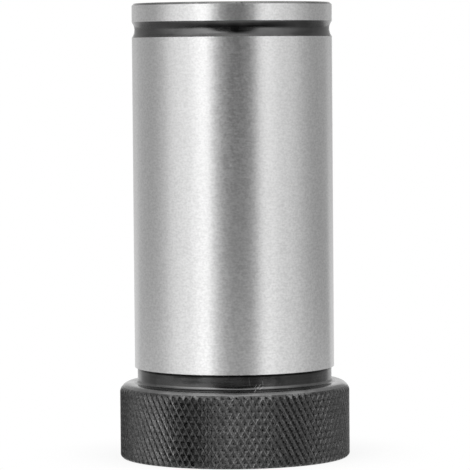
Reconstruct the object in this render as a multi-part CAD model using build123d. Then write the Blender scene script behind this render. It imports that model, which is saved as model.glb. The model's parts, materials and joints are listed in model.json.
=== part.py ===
from build123d import *
import os
from math import ceil, cos, pi, radians, sin, tan

# A hardened steel sleeve that brings a tool shank up to the bore of a larger holder.
# It is turned and ground from one piece. It stands on its collar at Z = 0, on the Z axis.

# Body, the ground length that enters the holder
body_dia = 32.0
body_length = 58.15
body_chamfer = 0.35

# Bore for the tool shank, right through
bore_dia = 20.0
bore_chamfer = 1.0

# Round-bottomed retaining groove near the free end
groove_radius = 2.0
groove_depth = 0.43
groove_from_end = 4.2

# Neck, the relief between the ground length and the collar
neck_depth = 0.43
neck_length = 2.45
neck_fillet = 0.5

# Collar, held by hand. It stands out past the body as far as the ridges of its knurl.
# Next to the body is a flat seat that stops on the holder, and a round shoulder takes the rest.
collar_overhang = 2.43
collar_height = 12.0
seat_width = 0.7
collar_chamfer = 0.35

# Diamond knurl with sunk points. The ridges between them lean both ways from the axis
knurl_pitch = 1.0
knurl_angle = 30.0
knurl_depth = 0.42

# Stock left round the rim beyond the ridges, which the knurl takes off
rim_stock = 0.05

# Heights and radii that follow
bore_radius = bore_dia / 2
body_radius = body_dia / 2
neck_radius = body_radius - neck_depth
collar_radius = body_radius + collar_overhang
rim_radius = collar_radius + rim_stock
shoulder_radius = rim_radius - body_radius - seat_width
knurl_root = collar_radius - knurl_depth
body_start = collar_height + neck_length
overall_length = body_start + body_length
groove_height = overall_length - groove_from_end
groove_centre = body_radius - groove_depth + groove_radius


def wall_band(outer_radius, low, high):
    # one step of the half section, from the bore out to a radius
    with Locations(((bore_radius + outer_radius) / 2, (low + high) / 2)):
        Rectangle(outer_radius - bore_radius, high - low)


def corner(section, radius, height):
    return section.vertices().sort_by_distance((radius, height, 0))[0]


def half_section():
    # radius to the right and height upwards, on one side of the axis
    with BuildSketch(Plane.XZ) as section:
        wall_band(rim_radius, 0, collar_height)
        wall_band(neck_radius, 0, body_start)
        wall_band(body_radius, body_start, overall_length)
        with Locations((groove_centre, groove_height)):
            Circle(groove_radius, mode=Mode.SUBTRACT)
        chamfer(corner(section, bore_radius, 0), bore_chamfer)
        chamfer(corner(section, bore_radius, overall_length), bore_chamfer)
        chamfer(corner(section, body_radius, overall_length), body_chamfer)
        chamfer(corner(section, rim_radius, 0), collar_chamfer)
        fillet(corner(section, rim_radius, collar_height), shoulder_radius)
        fillet(corner(section, neck_radius, collar_height), neck_fillet)
    return section.sketch


def knurl_surface():
    # Hollows and crossings of ridges alternate, like the squares of a chessboard wrapped round the rim.
    # A column is half a diamond's width and a row is half its height.
    rolled_radius = (collar_radius + knurl_root) / 2
    teeth = round(2 * pi * rolled_radius * cos(radians(knurl_angle)) / knurl_pitch)
    column_turn = pi / teeth
    row_height = column_turn * rolled_radius / tan(radians(knurl_angle))

    def knot(column, row):
        is_hollow = (column + row) % 2 == 0
        radius = knurl_root if is_hollow else collar_radius
        turn = column * column_turn
        return (radius * cos(turn), radius * sin(turn), row * row_height)

    # The rows run past both faces of the collar, so that its shoulder and chamfer cut them off
    last_row = ceil(collar_height / row_height)
    facets = []
    for row in range(-1, last_row + 1):
        for column in range(row % 2, 2 * teeth, 2):
            hollow = knot(column, row)
            left, right = knot(column - 1, row), knot(column + 1, row)
            below, above = knot(column, row - 1), knot(column, row + 1)
            for side in ((left, below), (below, right), (right, above), (above, left)):
                facets.append(Face(Wire.make_polygon([hollow, *side])))
    return Shell(facets)


# The knurl parts the turned blank from the thin ring of stock round its rim
blank = revolve(half_section(), Axis.Z)
sleeve = blank.split(knurl_surface(), keep=Keep.ALL).sort_by(SortBy.VOLUME)[-1]
sleeve.label = "sleeve"

os.makedirs("parts", exist_ok=True)
export_step(sleeve, "parts/sleeve.step")
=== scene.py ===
# Looks of a ground tool holder sleeve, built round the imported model.
# Shapes are worked out in millimetres and written to the meshes in metres.
import json
import bpy
import numpy as np
from math import radians
from mathutils import Matrix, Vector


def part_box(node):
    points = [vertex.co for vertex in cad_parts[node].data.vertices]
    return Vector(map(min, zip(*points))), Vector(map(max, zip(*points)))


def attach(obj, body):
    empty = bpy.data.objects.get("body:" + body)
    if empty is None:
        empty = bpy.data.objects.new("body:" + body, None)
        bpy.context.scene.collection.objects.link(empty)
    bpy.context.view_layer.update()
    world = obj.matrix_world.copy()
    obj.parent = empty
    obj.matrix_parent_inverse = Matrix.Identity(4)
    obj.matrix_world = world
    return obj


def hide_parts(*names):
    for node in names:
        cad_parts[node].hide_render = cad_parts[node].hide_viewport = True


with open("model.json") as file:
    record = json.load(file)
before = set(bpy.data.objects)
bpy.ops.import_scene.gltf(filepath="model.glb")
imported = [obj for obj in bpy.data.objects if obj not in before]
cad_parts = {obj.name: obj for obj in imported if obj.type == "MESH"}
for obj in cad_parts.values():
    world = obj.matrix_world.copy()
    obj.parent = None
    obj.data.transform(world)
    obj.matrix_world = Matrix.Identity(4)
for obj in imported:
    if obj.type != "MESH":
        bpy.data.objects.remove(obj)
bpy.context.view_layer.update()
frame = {"record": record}

mm = 0.001
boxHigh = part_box("sleeve")[1]
mounts = {m["name"]: m["dims"] for m in frame["record"]["mounts"] if m["dims"]}
print("frame loaded: sleeve", round(boxHigh.z / mm, 2), "mm tall")

# The turned form, from the top end downwards
turned = {
    "height": boxHigh.z / mm,
    "bodyRadius": mounts["body"]["r_mm"],
    "boreRadius": mounts["bore"]["r_mm"],
    "boreChamfer": 1.0,
    "topChamfer": 0.35,
    "grooveFromTop": 4.2,          # to the middle of the groove
    "grooveRadius": 2.0,
    "grooveDepth": 0.43,
    "bodyStart": 14.45,            # lower edge of the ground length
    "neckDepth": 0.43,
    "neckFillet": 0.5,
    "collarHeight": 12.0,
    "seatWidth": 0.7,              # flat seat, from the body's radius outwards
    "rimRadius": boxHigh.x / mm + 0.05,  # before the knurl takes off the stock outside its ridges
    "baseChamfer": 0.35,
    "columns": 330,                # round the smooth stretches, a third of the rim's columns
    "shoulderSteps": 12,           # of the mesh over the shoulder above the knurl
    "strips": (0.15, 0.35),        # width of the flat strips inside the rim, at seat and base
    "blackTonesAndPaintedLight": (1.0, 0.2, 1.6, 2.6),  # plain, painted shadow under the step, thinner black and painted highlight on the fillet, rubbed black and painted highlight
    "stepShade": (0.34, 0.48),     # below the step, to where the painted shadow's darkest black and its fading end
}

# The diamond knurl round the rim: ridges of two leans with sunk points between them
knurl = {
    "teeth": 99,
    "ridgeRadius": boxHigh.x / mm,
    "rootRadius": boxHigh.x / mm - 0.42,  # at the bottom of the sunk points
    "lean": 30.0,                  # degrees from the axis
    "flankDepth": 0.3,             # from sharp ridges to the foot of the flanks
    "blunt": 0.02,                 # taken off the ridges
    "pitShare": 0.2,               # of the way up, where the flanks fall away into the sunk points
    "lowerLean": 0.35,             # share of the flanks that the ridges leaning right lack
    "steps": 5,                    # of the mesh in each half diamond
}


def stretch(start, end, steps):
    # points evenly spaced from start to end, the last left out
    share = np.linspace(0.0, 1.0, steps, endpoint=False)[:, None]
    return np.array(start) * (1 - share) + np.array(end) * share


def arc(centre, radius, first, last, steps):
    # centre + radius (cos, sin) of angles from first to last degrees, the last left out
    turn = np.radians(np.linspace(first, last, steps, endpoint=False))
    return np.array(centre) + radius * np.stack([np.cos(turn), np.sin(turn)], 1)


def turnedOutline(t, seatInner, baseInner):
    # The half section as (radius, height), from the seat up the outside and down the bore to the
    # base. Each stretch is (points, finish, whether it starts at a sharp corner, how light its
    # black is there, which holds a painted shadow under the step and painted highlights).
    body, bore, top = t["bodyRadius"], t["boreRadius"], t["height"]
    neck, seat = body - t["neckDepth"], t["collarHeight"]
    fillet, start, chamfer = t["neckFillet"], t["bodyStart"], t["boreChamfer"]
    edge, face = top - t["topChamfer"], body - t["topChamfer"]
    groove = (body - t["grooveDepth"] + t["grooveRadius"], top - t["grooveFromTop"])
    half = np.degrees(np.arccos((groove[0] - body) / t["grooveRadius"]))
    reach = t["grooveRadius"] * np.sin(np.radians(half))
    grooveArc = arc(groove, t["grooveRadius"], 180 + half, 180 - half, 18)
    plain, paintedStepShadow, thinAndHighlight, wearAndPaintedLight = t["blackTonesAndPaintedLight"]
    paintedShadowEnd, fadeEnd = start - t["stepShade"][0], start - t["stepShade"][1]
    return [
        # the seat and the fillet are lighter: partly rubbed and thinner black, partly painted
        # highlight
        (stretch((seatInner, seat), (neck + fillet, seat), 2), "oxide", False, wearAndPaintedLight),
        (arc((neck + fillet, seat + fillet), fillet, 270, 180, 8), "oxide", False, thinAndHighlight),
        (stretch((neck, seat + fillet), (neck, fadeEnd), 3), "oxide", False, plain),
        # a painted shadow under the step: the neck's black darkens from here up to the step
        (stretch((neck, fadeEnd), (neck, paintedShadowEnd), 1), "oxide", False, plain),
        (stretch((neck, paintedShadowEnd), (neck, start), 1), "oxide", False, paintedStepShadow),
        (stretch((neck, start), (body, start), 1), "oxide", True, paintedStepShadow),
        (stretch((body, start), (body, groove[1] - reach), 8), "ground", True, plain),
        (grooveArc, "oxide", True, plain),
        (stretch((body, groove[1] + reach), (body, edge), 3), "ground", True, plain),
        (stretch((body, edge), (face, top), 1), "oxide", True, wearAndPaintedLight),
        (stretch((face, top), (bore + chamfer, top), 4), "oxide", True, wearAndPaintedLight),
        (stretch((bore + chamfer, top), (bore, top - chamfer), 1), "oxide", True, plain),
        (stretch((bore, top - chamfer), (bore, chamfer), 8), "ground", True, plain),
        (stretch((bore, chamfer), (bore + chamfer, 0), 1), "oxide", True, plain),
        (stretch((bore + chamfer, 0), (baseInner, 0), 4), "oxide", True, plain),
        (np.array([(baseInner, 0.0)]), "oxide", False, wearAndPaintedLight),
    ]


def knurlRadius(column, row, k):
    # Ridges of two leans lie where column + row and column - row are odd. Each fold climbs evenly
    # from 0 halfway between two ridges to 1 on the ridge. The fold that leans right was rolled less
    # deep and is lower. The radius falls evenly with the higher fold, down to the foot of the
    # flanks, and from there to the root radius at the sunk points.
    foldA = 1 - np.abs((column + row) % 2 - 1)
    foldB = 1 - np.abs((column - row) % 2 - 1)
    level = np.maximum(foldA, foldB)
    higher = np.maximum(foldA, foldB - k["lowerLean"])
    flank = k["ridgeRadius"] + k["blunt"] - k["flankDepth"] * (1 - higher)
    foot = k["ridgeRadius"] + k["blunt"] - k["flankDepth"]
    pit = np.clip(1 - level / k["pitShare"], 0, 1) * (foot - k["rootRadius"])
    return np.minimum(flank, k["ridgeRadius"]) - pit, level


def rimGrid(t, k):
    # Radius of the rim over (turn, height): the lower of the turned outline and the knurl. Above
    # the knurl the grid follows the shoulder's arc up to the flat seat.
    columnTurn = np.pi / k["teeth"]
    rolled = (k["ridgeRadius"] + k["rootRadius"]) / 2
    rowHeight = columnTurn * rolled / np.tan(radians(k["lean"]))
    shoulder = t["rimRadius"] - t["bodyRadius"] - t["seatWidth"]
    arcRadius, arcHeight = t["rimRadius"] - shoulder, t["collarHeight"] - shoulder
    column = np.arange(2 * k["teeth"] * k["steps"]) / k["steps"]
    runOut = arcHeight + np.sqrt(shoulder**2 - (k["rootRadius"] - arcRadius)**2)
    row = np.arange(int(runOut / rowHeight * k["steps"]) + 1) / k["steps"]
    height = row * rowHeight
    overArc = np.clip(height - arcHeight, 0, None)
    turnedRadius = np.minimum(
        t["rimRadius"] - t["baseChamfer"] + height,
        arcRadius + np.sqrt(shoulder**2 - overArc**2),
    )
    rolledRadius, level = knurlRadius(column[None, :], row[:, None], k)
    radius = np.minimum(turnedRadius[:, None], rolledRadius)
    level = np.where(turnedRadius[:, None] < rolledRadius, 1.0, level)
    # the rest of the shoulder, smooth
    lastAngle = np.degrees(np.arcsin((height[-1] - arcHeight) / shoulder))
    rest = arc((arcRadius, arcHeight), shoulder, lastAngle, 90, t["shoulderSteps"])[1:]
    rest = np.vstack([rest, [arcRadius, t["collarHeight"]]])
    radius = np.vstack([radius, np.repeat(rest[:, :1], len(column), 1)])
    height = np.concatenate([height, rest[:, 1]])
    level = np.vstack([level, np.ones((len(rest), len(column)))])
    # which way the ridge in each cell leans
    lean = (np.floor(column)[None, :] + np.floor(row)[:, None]) % 2 == 0
    lean = np.vstack([lean, np.zeros((len(rest), len(column)), bool)])
    return column * columnTurn, height, radius, level, lean, len(row)


def gridPoints(radius, height, turn):
    # (radius cos turn, radius sin turn, height) for a whole grid
    height = np.broadcast_to(height[:, None], radius.shape)
    return np.stack([radius * np.cos(turn), radius * np.sin(turn), height], -1).reshape(-1, 3)


def gridCells(rows, columns, first):
    # the four point numbers of every cell of a grid that closes round the axis, counted from first
    lower = first + np.arange(rows - 1)[:, None] * columns
    a = (lower + np.arange(columns)).ravel()
    b = (lower + (np.arange(columns) + 1) % columns).ravel()
    return a, b, b + columns, a + columns


def stripSides(fineFirst, fineCount, coarseFirst, coarseCount):
    # for each side of a coarse ring: the fine ring's points along it, and its own two points
    fine = fineFirst + np.arange(fineCount).reshape(coarseCount, -1)
    fine = np.hstack([fine, np.roll(fine[:, :1], -1, 0)])
    side = np.arange(coarseCount)
    return fine, coarseFirst + np.stack([side, (side + 1) % coarseCount], 1)


def makeSleeve(t, k, materials):
    ground, oxide, knurled = range(3)  # places of the finishes in materials
    turn, height, radius, level, lean, knurlRows = rimGrid(t, k)
    rimColumns, rimRows, columns = len(turn), len(height), t["columns"]

    # the rim, as triangles that follow the lean of the ridges
    rimPoints = gridPoints(radius, height, turn)
    a, b, c, d = gridCells(rimRows, rimColumns, 0)
    leaning = lean[:-1].ravel()[:, None]
    firstHalf = np.where(leaning, np.stack([a, b, d], 1), np.stack([a, b, c], 1))
    secondHalf = np.where(leaning, np.stack([b, c, d], 1), np.stack([a, c, d], 1))
    rimFaces = np.concatenate([firstHalf, secondHalf])
    rowFinish = np.where(np.arange(rimRows - 1) < knurlRows - 1, knurled, oxide)
    rimFinish = np.tile(rowFinish.repeat(rimColumns), 2)

    # the turned stretches, as rings from the seat round to the base
    seatStrip, baseStrip = t["strips"]
    outline = turnedOutline(t, radius[-1, 0] - seatStrip, radius[0, 0] - baseStrip)
    section = np.vstack([part for part, finish, corner, tone in outline])
    corners = np.concatenate([[corner] + [False] * (len(part) - 1)
                              for part, finish, corner, tone in outline])
    finishes = np.concatenate([[finish] * len(part) for part, finish, corner, tone in outline])
    tones = np.concatenate([[tone] * len(part) for part, finish, corner, tone in outline])
    smoothTurn = np.arange(columns) * 2 * np.pi / columns
    smoothRadius = np.repeat(section[:, :1], columns, 1)
    smoothPoints = gridPoints(smoothRadius, section[:, 1], smoothTurn)
    start = len(rimPoints)
    smoothFaces = np.stack(gridCells(len(section), columns, start), 1)
    smoothFinish = np.where(finishes[:-1] == "ground", ground, oxide).repeat(columns)

    # flat strips that join the fine rim to the coarser rings, at the seat and at the base
    seatRim, seatRing = stripSides((rimRows - 1) * rimColumns, rimColumns, start, columns)
    seatFaces = np.hstack([seatRim, seatRing[:, ::-1]])
    lastRing = start + (len(section) - 1) * columns
    baseRim, baseRing = stripSides(0, rimColumns, lastRing, columns)
    baseFaces = np.hstack([baseRim[:, ::-1], baseRing])
    stripFinish = np.full(len(seatFaces) + len(baseFaces), oxide)

    mesh = bpy.data.meshes.new("turnedSleeve")
    points = np.vstack([rimPoints, smoothPoints]) * mm
    faces = rimFaces.tolist() + smoothFaces.tolist() + seatFaces.tolist() + baseFaces.tolist()
    mesh.from_pydata(points.tolist(), [], faces)
    finish = np.concatenate([rimFinish, smoothFinish, stripFinish])
    mesh.polygons.foreach_set("material_index", finish.astype(np.int32))
    mesh.polygons.foreach_set("use_smooth", finish != knurled)

    # sharp where the outline turns a corner, and round the foot of the rim. 0 marks smooth points.
    cornerRing = np.where(corners, np.arange(1, len(section) + 1), 0).repeat(columns)
    ringOfPoint = np.concatenate([np.zeros(len(rimPoints), int), cornerRing])
    ringOfPoint[:rimColumns] = -1
    ends = np.empty(len(mesh.edges) * 2, np.int32)
    mesh.edges.foreach_get("vertices", ends)
    ends = ringOfPoint[ends.reshape(-1, 2)]
    sharp = mesh.attributes.new("sharp_edge", "BOOLEAN", "EDGE")
    sharp.data.foreach_set("value", (ends[:, 0] == ends[:, 1]) & (ends[:, 0] != 0))

    # the height in the knurl, 0 at the sunk points and 1 on the ridges, for wear
    levels = np.concatenate([level.ravel(), np.ones(len(smoothPoints))])
    rise = mesh.attributes.new("rise", "FLOAT", "POINT")
    rise.data.foreach_set("value", levels.astype(np.float32))
    # how light the black is, with the painted shadow under the step and the painted highlights of
    # fillet, seat and shoulder
    # the shoulder above the knurl takes the lightest tone: rubbed black and painted highlight
    rimTones = np.full(len(rimPoints), t["blackTonesAndPaintedLight"][-1])
    tones = np.concatenate([rimTones, tones.repeat(columns)])
    tone = mesh.attributes.new("tone", "FLOAT", "POINT")
    tone.data.foreach_set("value", tones.astype(np.float32))

    for material in materials:
        mesh.materials.append(material)
    mesh.validate()
    mesh.update()
    sleeve = bpy.data.objects.new("turnedSleeve", mesh)
    bpy.context.scene.collection.objects.link(sleeve)
    mesh.calc_loop_triangles()
    print("sleeve:", len(points), "points,", len(mesh.loop_triangles), "triangles")
    return sleeve


def addNode(nodes, kind, values=(), **settings):
    # a node with its settings, and its sockets' values by number or name
    node = nodes.new("ShaderNode" + kind)
    for setting, value in settings.items():
        setattr(node, setting, value)
    for socket, value in values:
        node.inputs[socket].default_value = value
    return node


def emptyMaterial(name):
    material = bpy.data.materials.new(name)
    material.use_nodes = True
    nodes, links = material.node_tree.nodes, material.node_tree.links
    nodes.clear()
    return material, nodes, links


def newGroup(name, inputs, outputs):
    # a node group whose inputs are (name, kind, value) and whose outputs are (name, kind)
    group = bpy.data.node_groups.new(name, "ShaderNodeTree")
    for label, kind, value in inputs:
        socket = group.interface.new_socket(
            name=label, in_out="INPUT", socket_type="NodeSocket" + kind)
        socket.default_value = value
    for label, kind in outputs:
        group.interface.new_socket(
            name=label, in_out="OUTPUT", socket_type="NodeSocket" + kind)
    nodes, links = group.nodes, group.links
    return group, nodes, links, nodes.new("NodeGroupInput"), nodes.new("NodeGroupOutput")


def toolMarks():
    # Lines that a tool or wheel leaves round the sleeve, and the speckle between them. The lines
    # are noise over (x, y, height + radius), pulled long round the axis, so that flat faces have
    # rings too. Across, Around and Speckle count the marks to the metre.
    group, nodes, links, given, made = newGroup(
        "toolMarks",
        [("Across", "Float", 4000.0), ("Around", "Float", 300.0), ("Speckle", "Float", 3500.0)],
        [("Lines", "Float"), ("Speckle", "Float")])
    place = addNode(nodes, "TexCoord")
    split = addNode(nodes, "SeparateXYZ")
    flat = addNode(nodes, "CombineXYZ")
    radius = addNode(nodes, "VectorMath", operation="LENGTH")
    along = addNode(nodes, "Math", operation="ADD")
    across = addNode(nodes, "Math", operation="MULTIPLY")
    aroundX = addNode(nodes, "Math", operation="MULTIPLY")
    aroundY = addNode(nodes, "Math", operation="MULTIPLY")
    pulled = addNode(nodes, "CombineXYZ")
    lines = addNode(nodes, "TexNoise", [("Scale", 1.0), ("Detail", 2.0), ("Roughness", 0.6)])
    speckle = addNode(nodes, "TexNoise", [("Detail", 1.0)])
    links.new(place.outputs["Object"], split.inputs[0])
    links.new(split.outputs["X"], flat.inputs["X"])
    links.new(split.outputs["Y"], flat.inputs["Y"])
    links.new(flat.outputs[0], radius.inputs[0])
    links.new(split.outputs["Z"], along.inputs[0])
    links.new(radius.outputs["Value"], along.inputs[1])
    links.new(along.outputs[0], across.inputs[0])
    links.new(given.outputs["Across"], across.inputs[1])
    links.new(split.outputs["X"], aroundX.inputs[0])
    links.new(given.outputs["Around"], aroundX.inputs[1])
    links.new(split.outputs["Y"], aroundY.inputs[0])
    links.new(given.outputs["Around"], aroundY.inputs[1])
    links.new(aroundX.outputs[0], pulled.inputs["X"])
    links.new(aroundY.outputs[0], pulled.inputs["Y"])
    links.new(across.outputs[0], pulled.inputs["Z"])
    links.new(pulled.outputs[0], lines.inputs["Vector"])
    links.new(place.outputs["Object"], speckle.inputs["Vector"])
    links.new(given.outputs["Speckle"], speckle.inputs["Scale"])
    links.new(lines.outputs["Fac"], made.inputs["Lines"])
    links.new(speckle.outputs["Fac"], made.inputs["Speckle"])
    return group


def patches():
    # Soft blotches: 0 where the noise is under Low, 1 where it is over High, and smooth between.
    # Scale counts them to the metre.
    group, nodes, links, given, made = newGroup(
        "patches",
        [("Scale", "Float", 200.0), ("Low", "Float", 0.35), ("High", "Float", 0.65)],
        [("Patch", "Float")])
    place = addNode(nodes, "TexCoord")
    noise = addNode(nodes, "TexNoise", [("Detail", 3.0), ("Roughness", 0.55)])
    fade = addNode(nodes, "MapRange", interpolation_type="SMOOTHSTEP")
    links.new(place.outputs["Object"], noise.inputs["Vector"])
    links.new(given.outputs["Scale"], noise.inputs["Scale"])
    links.new(noise.outputs["Fac"], fade.inputs["Value"])
    links.new(given.outputs["Low"], fade.inputs["From Min"])
    links.new(given.outputs["High"], fade.inputs["From Max"])
    links.new(fade.outputs[0], made.inputs["Patch"])
    return group


def scratch():
    # A straight scratch: 1 on the line between two points, fading to 0 at its width, by the
    # distance from the line, |p - from - share along|, where share is
    # (p - from) . along / along . along, kept to 0..1
    group, nodes, links, given, made = newGroup(
        "scratch",
        [("From", "Vector", (0, 0, 0)), ("Along", "Vector", (0, 0, 0)), ("Width", "Float", 0.0001)],
        [("Mask", "Float")])
    place = addNode(nodes, "TexCoord")
    away = addNode(nodes, "VectorMath", operation="SUBTRACT")
    reach = addNode(nodes, "VectorMath", operation="DOT_PRODUCT")
    whole = addNode(nodes, "VectorMath", operation="DOT_PRODUCT")
    share = addNode(nodes, "Math", operation="DIVIDE", use_clamp=True)
    foot = addNode(nodes, "VectorMath", operation="SCALE")
    gap = addNode(nodes, "VectorMath", operation="DISTANCE")
    mask = addNode(nodes, "MapRange", [("From Max", 0.0), ("To Min", 0.0), ("To Max", 1.0)],
                   interpolation_type="SMOOTHSTEP")
    links.new(place.outputs["Object"], away.inputs[0])
    links.new(given.outputs["From"], away.inputs[1])
    links.new(away.outputs[0], reach.inputs[0])
    links.new(given.outputs["Along"], reach.inputs[1])
    links.new(given.outputs["Along"], whole.inputs[0])
    links.new(given.outputs["Along"], whole.inputs[1])
    links.new(reach.outputs["Value"], share.inputs[0])
    links.new(whole.outputs["Value"], share.inputs[1])
    links.new(given.outputs["Along"], foot.inputs[0])
    links.new(share.outputs[0], foot.inputs["Scale"])
    links.new(away.outputs[0], gap.inputs[0])
    links.new(foot.outputs[0], gap.inputs[1])
    links.new(gap.outputs["Value"], mask.inputs["Value"])
    links.new(given.outputs["Width"], mask.inputs["From Min"])
    links.new(mask.outputs[0], made.inputs["Mask"])
    return group


marksGroup, patchesGroup, scratchGroup = toolMarks(), patches(), scratch()
noiseRange = (0.25, 0.75)          # the noise hardly leaves this range


def placeGroup(nodes, group, values):
    return addNode(nodes, "Group", values, node_tree=group)


def spread(nodes, links, source, low, high, first=0.0, last=1.0, kind="LINEAR"):
    # source between first and last becomes low to high
    node = addNode(
        nodes, "MapRange",
        [("From Min", first), ("From Max", last), ("To Min", low), ("To Max", high)],
        interpolation_type=kind)
    links.new(source, node.inputs["Value"])
    return node.outputs[0]


def join(nodes, links, operation, first, second):
    # the sum or product of two sources
    node = addNode(nodes, "Math", operation=operation)
    links.new(first, node.inputs[0])
    links.new(second, node.inputs[1])
    return node.outputs[0]


def addScratches(nodes, links, source, scratches, strength=1.0):
    # each scratch is (from, to, width, what it adds to the source), in millimetres
    for start, end, width, change in scratches:
        start, end = np.array(start) * mm, np.array(end) * mm
        mask = placeGroup(nodes, scratchGroup,
                          [("From", start), ("Along", end - start), ("Width", width * mm)])
        change = spread(nodes, links, mask.outputs["Mask"], 0.0, change * strength)
        source = join(nodes, links, "ADD", source, change)
    return source


def newMetal(name, values=()):
    # a bare metal surface, whose even values are set on its own sockets
    material, nodes, links = emptyMaterial(name)
    output = addNode(nodes, "OutputMaterial")
    shader = addNode(nodes, "BsdfPrincipled", [("Metallic", 1.0), *values])
    links.new(shader.outputs["BSDF"], output.inputs["Surface"])
    return material, nodes, links, shader


def paint(nodes, links, shader, tone, roughness, height, depth):
    # grey tone, roughness and relief of a surface, the relief's depth in metres
    links.new(tone, shader.inputs["Base Color"])
    links.new(roughness, shader.inputs["Roughness"])
    relief = addNode(nodes, "Bump", [("Distance", depth)])
    links.new(height, relief.inputs["Height"])
    links.new(relief.outputs["Normal"], shader.inputs["Normal"])


# Body and bore, ground bright: fine short lines round the axis under a soft speckle
steelFinish = {
    "tone": (0.58, 0.72),          # darkest and lightest grey
    "roughness": (0.362, 0.43),
    "anisotropy": 0.9,             # how far the grinding pulls the reflections up and down
    "grainTurn": 0.25,             # of a whole turn, so that the grain runs round the axis
    "clouds": 0.1,                 # share of soft blotches beside the grain in the roughness
    "reliefDepth": 4.0e-6,
    "lineSwing": 0.5,              # how far the lines swing the grain either way
    "across": 3600.0,              # lines to the metre
    "around": 1300.0,
    "speckle": 2900.0,
    "patchScale": 120.0,
    "scratches": [                 # at the top edge: from, to, width, what each adds to the tone
        ((0.85, -15.98, 72.25), (0.8, -15.98, 72.05), 0.22, -0.12),
        ((1.6, -15.92, 72.25), (1.75, -15.9, 71.95), 0.25, -0.15),
        ((2.3, -15.83, 72.2), (2.25, -15.84, 72.1), 0.18, 0.2),
    ],
}


def makeGroundSteel(f):
    material, nodes, links, shader = newMetal("groundSteel", [
        ("Anisotropic", f["anisotropy"]), ("Anisotropic Rotation", f["grainTurn"])])
    marks = placeGroup(nodes, marksGroup, [
        ("Across", f["across"]), ("Around", f["around"]), ("Speckle", f["speckle"])])
    blotch = placeGroup(nodes, patchesGroup, [("Scale", f["patchScale"])])
    swing = f["lineSwing"]
    lines = spread(nodes, links, marks.outputs["Lines"], -swing, swing, *noiseRange)
    grains = spread(nodes, links, marks.outputs["Speckle"], 0.0, 1.0, *noiseRange)
    mixed = join(nodes, links, "ADD", lines, grains)
    tone = spread(nodes, links, mixed, *f["tone"])
    tone = addScratches(nodes, links, tone, f["scratches"])
    clouds = spread(nodes, links, blotch.outputs["Patch"], 0.0, f["clouds"])
    cloudy = join(nodes, links, "ADD", clouds, mixed)
    roughness = spread(nodes, links, cloudy, *f["roughness"], 0.0, 1.0 + f["clouds"])
    paint(nodes, links, shader, tone, roughness, mixed, f["reliefDepth"])
    return material


# Groove, neck, fillet, shoulder and end faces, left black: turning lines, blotches of thinner black
oxideFinish = {
    "tone": (0.065, 0.095),
    "roughness": (0.18, 0.28),
    "reliefDepth": 6.0e-6,
    "lineSwing": 0.5,
    "across": 2600.0,
    "around": 90.0,
    "patchScale": 260.0,
    "scratchRoughness": 0.8,       # for each part of tone that a scratch adds
    "scratches": [                 # bright on neck, fillet and seat, dark at the top edge
        ((3.55, -15.19, 12.32), (3.98, -15.05, 12.82), 0.11, 0.22),
        ((3.91, -15.24, 12.13), (4.41, -14.93, 12.52), 0.11, 0.18),
        ((3.11, -16.93, 11.92), (3.25, -15.46, 12.08), 0.13, 0.45),
        ((3.16, -15.25, 12.45), (3.4, -15.19, 12.84), 0.09, 0.18),
        ((2.21, -15.41, 13.96), (2.38, -15.39, 12.71), 0.12, 0.06),
        ((4.34, -14.95, 13.43), (4.42, -14.93, 12.8), 0.1, 0.1),
        ((0.76, -15.83, 72.43), (0.79, -15.93, 72.28), 0.2, -0.12),
        ((1.55, -15.77, 72.42), (1.61, -15.87, 72.28), 0.22, -0.12),
    ],
}


def makeBlackOxide(f):
    material, nodes, links, shader = newMetal("blackOxide")
    wearAndPaintedLight = addNode(nodes, "Attribute", attribute_name="tone")
    marks = placeGroup(nodes, marksGroup, [("Across", f["across"]), ("Around", f["around"])])
    blotch = placeGroup(nodes, patchesGroup, [("Scale", f["patchScale"])])
    swing = f["lineSwing"]
    lines = spread(nodes, links, marks.outputs["Lines"], -swing, swing, *noiseRange)
    mixed = join(nodes, links, "ADD", lines, blotch.outputs["Patch"])
    tone = spread(nodes, links, mixed, *f["tone"])
    # the tone attribute paints a shadow under the step, and highlights on fillet, seat and shoulder
    # where the black is also rubbed
    tone = join(nodes, links, "MULTIPLY", tone, wearAndPaintedLight.outputs["Fac"])
    tone = addScratches(nodes, links, tone, f["scratches"])
    roughness = spread(nodes, links, mixed, *f["roughness"])
    roughness = addScratches(nodes, links, roughness, f["scratches"], f["scratchRoughness"])
    paint(nodes, links, shader, tone, roughness, lines, f["reliefDepth"])
    return material


# The knurl: the black is deep in the sunk points and rubbed thin along the ridges, whose lighter
# tone also paints thin highlight lines
knurlFinish = {
    "tone": (0.045, 0.055, 0.115),  # sunk points, flanks, ridges
    "sunkEnd": 0.2,                # share of the height where the sunk points' black has gone
    "ridgeStart": 0.85,            # share of the height where the ridges' rubbed edge with its painted highlight starts
    "wearAndPaintedLight": (0.1, 1.5),          # how far the ridges are rubbed and lit by painted highlight, least and most, in blotches
    "grain": (0.4, 1.6),           # what the speckle makes of the tone, darkest and lightest
    "roughness": (0.23, 0.33),
    "reliefDepth": 5.0e-6,
    "speckle": 4200.0,
    "patchScale": 700.0,
}


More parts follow.
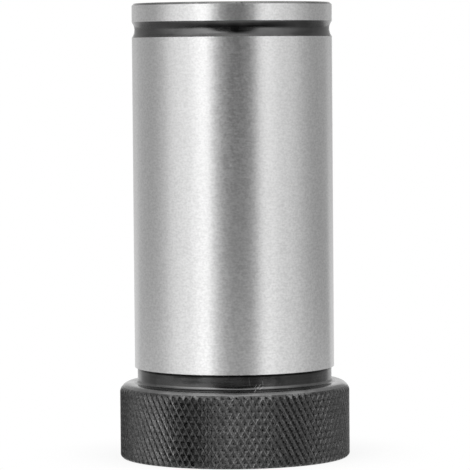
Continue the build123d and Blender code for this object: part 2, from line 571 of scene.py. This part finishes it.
def makeKnurledOxide(f):
    material, nodes, links, shader = newMetal("knurledOxide")
    rise = addNode(nodes, "Attribute", attribute_name="rise")
    marks = placeGroup(nodes, marksGroup, [("Speckle", f["speckle"])])
    blotch = placeGroup(nodes, patchesGroup, [("Scale", f["patchScale"])])
    sunk, flank, ridge = f["tone"]
    smooth, rough = f["roughness"]
    low = spread(nodes, links, rise.outputs["Fac"], sunk, flank, 0.0, f["sunkEnd"], "SMOOTHSTEP")
    # the ridges' edge is lighter: partly rubbed black, partly painted highlight lines
    high = spread(nodes, links, rise.outputs["Fac"], 0.0, ridge - flank, f["ridgeStart"], 1.0)
    wearAndPaintedLight = spread(nodes, links, blotch.outputs["Patch"], *f["wearAndPaintedLight"])
    ridgeWearAndHighlight = join(nodes, links, "MULTIPLY", high, wearAndPaintedLight)
    grains = spread(nodes, links, marks.outputs["Speckle"], *f["grain"], *noiseRange)
    tone = join(nodes, links, "MULTIPLY", join(nodes, links, "ADD", low, ridgeWearAndHighlight), grains)
    roughness = spread(nodes, links, blotch.outputs["Patch"], rough, smooth)
    paint(nodes, links, shader, tone, roughness, marks.outputs["Speckle"], f["reliefDepth"])
    return material


groundSteel = makeGroundSteel(steelFinish)
blackOxide = makeBlackOxide(oxideFinish)
knurledOxide = makeKnurledOxide(knurlFinish)
print("finishes ready")

sleeve = makeSleeve(turned, knurl, [groundSteel, blackOxide, knurledOxide])
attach(sleeve, "root")
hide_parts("sleeve")

# The studio: a tent of light under a roof, bright on both sides and dark in front, all lengths in
# metres. A band's stops are (azimuth, brightness), the azimuth in degrees from straight in front
# of the sleeve towards the right.
studio = {
    "tentRadius": 0.9,
    "tentHeight": 0.9,
    "wall": ((-165, 0.58), (-120, 0.52), (-105, 0.46), (-88, 0.78), (-74, 1.58), (-62, 1.83),
             (-52, 1.93), (-43, 2.5), (-35, 3.15), (-27, 3.2), (-19, 3.35), (-10, 2.5), (0, 0.1),
             (10, 0.35), (19, 0.55), (27, 1.4), (35, 2.2), (43, 2.25), (52, 1.68), (62, 1.43),
             (74, 1.21), (88, 0.77), (105, 0.52), (165, 0.47)),
    # distance behind the sleeve's axis, and brightness
    "roof": ((-0.9, 0.6), (-0.45, 1.65), (0.0, 1.2), (0.9, 0.5)),
    # a dark arched screen before the wall, where the camera looks in
    "screen": ((-28, 0.1), (-14, 0.0), (17, 0.0), (31, 0.05)),
    "screenRadius": 0.7,
    "screenHeight": 0.6,
    # a dark card on the floor round the sleeve, and its darker far part
    "card": ((-140, 0.66), (-110, 0.5), (-75, 0.5), (-40, 0.4), (-15, 0.25), (15, 0.25),
             (40, 0.22), (75, 0.5), (110, 0.36), (140, 0.44)),
    "farCard": ((-140, 0.66), (-110, 0.5), (-75, 0.5), (-40, 0.15), (-15, 0.05), (15, 0.05),
                (40, 0.05), (75, 0.45), (110, 0.36), (140, 0.44)),
    "cardReach": (0.07, 0.14, 0.88),  # radii where the card starts, turns darker and ends
    "cardLift": 0.0005,
    "floorRadius": 4.0,
    "floorDrop": 0.00001,          # keeps the floor apart from the face that stands on it
    "floorGrey": 0.9,
    "floorWhite": 0.85,            # share of plain white in the floor beside the sleeve
    "shadowEnd": (0.019, 0.035),   # radii where the shadow on the floor starts to fade and has gone
    "segments": 96,                # of each band and disc
}


def glow(name, stops, unit):
    # A light-giving material. Its brightness runs evenly from stop to stop, by what its share node
    # is given, and unit is the size of a stop's unit there.
    first, last = stops[0][0], stops[-1][0]
    brightest = max(level for at, level in stops)
    material, nodes, links = emptyMaterial(name)
    place = addNode(nodes, "TexCoord")
    split = addNode(nodes, "SeparateXYZ")
    share = addNode(nodes, "MapRange", [("From Min", first * unit), ("From Max", last * unit)])
    ramp = addNode(nodes, "ValToRGB")
    elements = ramp.color_ramp.elements
    for number, (at, level) in enumerate(stops):
        position = (at - first) / (last - first)
        element = elements[number] if number < 2 else elements.new(position)
        element.position = position
        element.color = (level / brightest,) * 3 + (1,)
    light = addNode(nodes, "Emission", [("Strength", brightest)])
    output = addNode(nodes, "OutputMaterial")
    links.new(place.outputs["Object"], split.inputs[0])
    links.new(share.outputs[0], ramp.inputs["Fac"])
    links.new(ramp.outputs["Color"], light.inputs["Color"])
    links.new(light.outputs[0], output.inputs["Surface"])
    return material, nodes, links, split, share


def addStagePiece(name, points, faces, material, seen=False):
    mesh = bpy.data.meshes.new(name)
    mesh.from_pydata(points.tolist(), [], faces)
    mesh.materials.append(material)
    piece = bpy.data.objects.new(name, mesh)
    bpy.context.scene.collection.objects.link(piece)
    piece.visible_camera = seen
    return piece


def makeBand(name, inner, outer, stops, count, arched=False):
    # A strip between two rims of (radius, height): radius (sin azimuth, -cos azimuth) and height
    # along each rim, over azimuths from the first stop to the last. The outer rim of an arched
    # strip falls to the height 0 at its ends, as 1 - share^2, where share goes from -1 to 1.
    azimuth = np.radians(np.linspace(stops[0][0], stops[-1][0], count + 1))
    ray = np.stack([np.sin(azimuth), -np.cos(azimuth), 0 * azimuth], 1)
    rise = 1 - arched * np.linspace(-1, 1, count + 1)**2
    up = np.stack([0 * rise, 0 * rise, rise], 1)
    points = np.vstack([ray * inner[0] + [0, 0, inner[1]], ray * outer[0] + up * outer[1]])
    i = np.arange(count)
    faces = np.stack([i + 1, i, i + count + 1, i + count + 2], 1).tolist()
    material, nodes, links, split, share = glow(name, stops, radians(1))
    front = addNode(nodes, "Math", [(1, -1)], operation="MULTIPLY")
    angle = addNode(nodes, "Math", operation="ARCTAN2")
    links.new(split.outputs["Y"], front.inputs[0])
    links.new(split.outputs["X"], angle.inputs[0])
    links.new(front.outputs[0], angle.inputs[1])
    links.new(angle.outputs[0], share.inputs["Value"])
    return addStagePiece(name, points, faces, material)


def discPoints(radius, height, count):
    # radius (cos turn, sin turn) at one height
    turn = np.linspace(0, 2 * np.pi, count, endpoint=False)
    return np.stack([radius * np.cos(turn), radius * np.sin(turn), 0 * turn + height], 1)


def makeTent(s):
    count = s["segments"]
    makeBand("tentWall", (s["tentRadius"], 0), (s["tentRadius"], s["tentHeight"]), s["wall"], count)
    makeBand("lowScreen", (s["screenRadius"], 0), (s["screenRadius"], s["screenHeight"]),
             s["screen"], count, arched=True)
    # the light that falls on the floor passes through the card
    near, middle, far = [(radius, s["cardLift"]) for radius in s["cardReach"]]
    makeBand("darkCard", near, middle, s["card"], count).visible_shadow = False
    makeBand("farCard", middle, far, s["farCard"], count).visible_shadow = False
    # the roof faces down
    material, nodes, links, split, share = glow("tentRoof", s["roof"], 1)
    links.new(split.outputs["Y"], share.inputs["Value"])
    roof = discPoints(s["tentRadius"], s["tentHeight"], count)
    addStagePiece("tentRoof", roof, [list(range(count))[::-1]], material)


def makeFloor(s):
    # pale paint that keeps the sleeve's shadow near it, and turns to the white of the background a
    # little way off. From below it is clear.
    material, nodes, links = emptyMaterial("paleFloor")
    path = addNode(nodes, "LightPath")
    seen = addNode(nodes, "Math", operation="MAXIMUM")
    seenToo = addNode(nodes, "Math", operation="MAXIMUM")
    place = addNode(nodes, "TexCoord")
    reach = addNode(nodes, "VectorMath", operation="LENGTH")
    fadeStart, fadeEnd = s["shadowEnd"]
    fade = addNode(
        nodes, "MapRange",
        [("From Min", fadeStart), ("From Max", fadeEnd), ("To Min", s["floorWhite"])],
        interpolation_type="SMOOTHSTEP")
    amount = addNode(nodes, "Math", operation="MULTIPLY")
    pale = addNode(nodes, "BsdfDiffuse", [("Color", (s["floorGrey"],) * 3 + (1,))])
    white = addNode(nodes, "Emission", [("Strength", 1.0)])
    mix = addNode(nodes, "MixShader")
    side = addNode(nodes, "NewGeometry")
    clear = addNode(nodes, "BsdfTransparent")
    oneSided = addNode(nodes, "MixShader")
    output = addNode(nodes, "OutputMaterial")
    links.new(path.outputs["Is Camera Ray"], seen.inputs[0])
    links.new(path.outputs["Is Glossy Ray"], seen.inputs[1])
    links.new(seen.outputs[0], seenToo.inputs[0])
    links.new(path.outputs["Is Transmission Ray"], seenToo.inputs[1])
    links.new(seenToo.outputs[0], amount.inputs[0])
    links.new(place.outputs["Object"], reach.inputs[0])
    links.new(reach.outputs["Value"], fade.inputs["Value"])
    links.new(fade.outputs[0], amount.inputs[1])
    links.new(amount.outputs[0], mix.inputs["Fac"])
    links.new(pale.outputs[0], mix.inputs[1])
    links.new(white.outputs[0], mix.inputs[2])
    links.new(side.outputs["Backfacing"], oneSided.inputs["Fac"])
    links.new(mix.outputs[0], oneSided.inputs[1])
    links.new(clear.outputs[0], oneSided.inputs[2])
    links.new(oneSided.outputs[0], output.inputs["Surface"])
    points = discPoints(s["floorRadius"], -s["floorDrop"], s["segments"])
    addStagePiece("floor", points, [list(range(s["segments"]))], material, seen=True)


def makeWorld():
    world = bpy.data.worlds.new("studioWhite")
    world.use_nodes = True
    background = world.node_tree.nodes["Background"]
    background.inputs["Color"].default_value = (1, 1, 1, 1)
    background.inputs["Strength"].default_value = 1.0
    bpy.context.scene.world = world


makeTent(studio)
makeFloor(studio)
makeWorld()
print("studio ready")

# The camera stands a little below the top of the sleeve and looks slightly down
view = {
    "distance": 0.51043,           # in metres, from the sleeve's axis
    "height": 0.063758,
    "pitch": 3.1725,               # degrees down
    "yaw": 0.0273,
    "roll": -0.4694,
    "focalPixels": 3186.4,         # focal length in pixels of the 470 wide picture
    "pictureWidth": 470,
    "sensorWidth": 36.0,
    "clip": (0.01, 20.0),          # nearest and farthest that it sees, in metres
}


def makeCamera(v):
    data = bpy.data.cameras.new("camera")
    data.sensor_width = v["sensorWidth"]
    data.lens = v["focalPixels"] * v["sensorWidth"] / v["pictureWidth"]
    data.clip_start, data.clip_end = v["clip"]
    camera = bpy.data.objects.new("camera", data)
    bpy.context.scene.collection.objects.link(camera)
    place = Matrix.Translation((0, -v["distance"], v["height"]))
    turnRound = Matrix.Rotation(radians(-v["yaw"]), 4, "Z")
    tip = Matrix.Rotation(radians(90 - v["pitch"]), 4, "X")
    lean = Matrix.Rotation(radians(v["roll"]), 4, "Z")
    camera.matrix_world = place @ turnRound @ tip @ lean
    bpy.context.scene.camera = camera


makeCamera(view)
bpy.context.scene.view_settings.view_transform = "Standard"
print("camera ready")
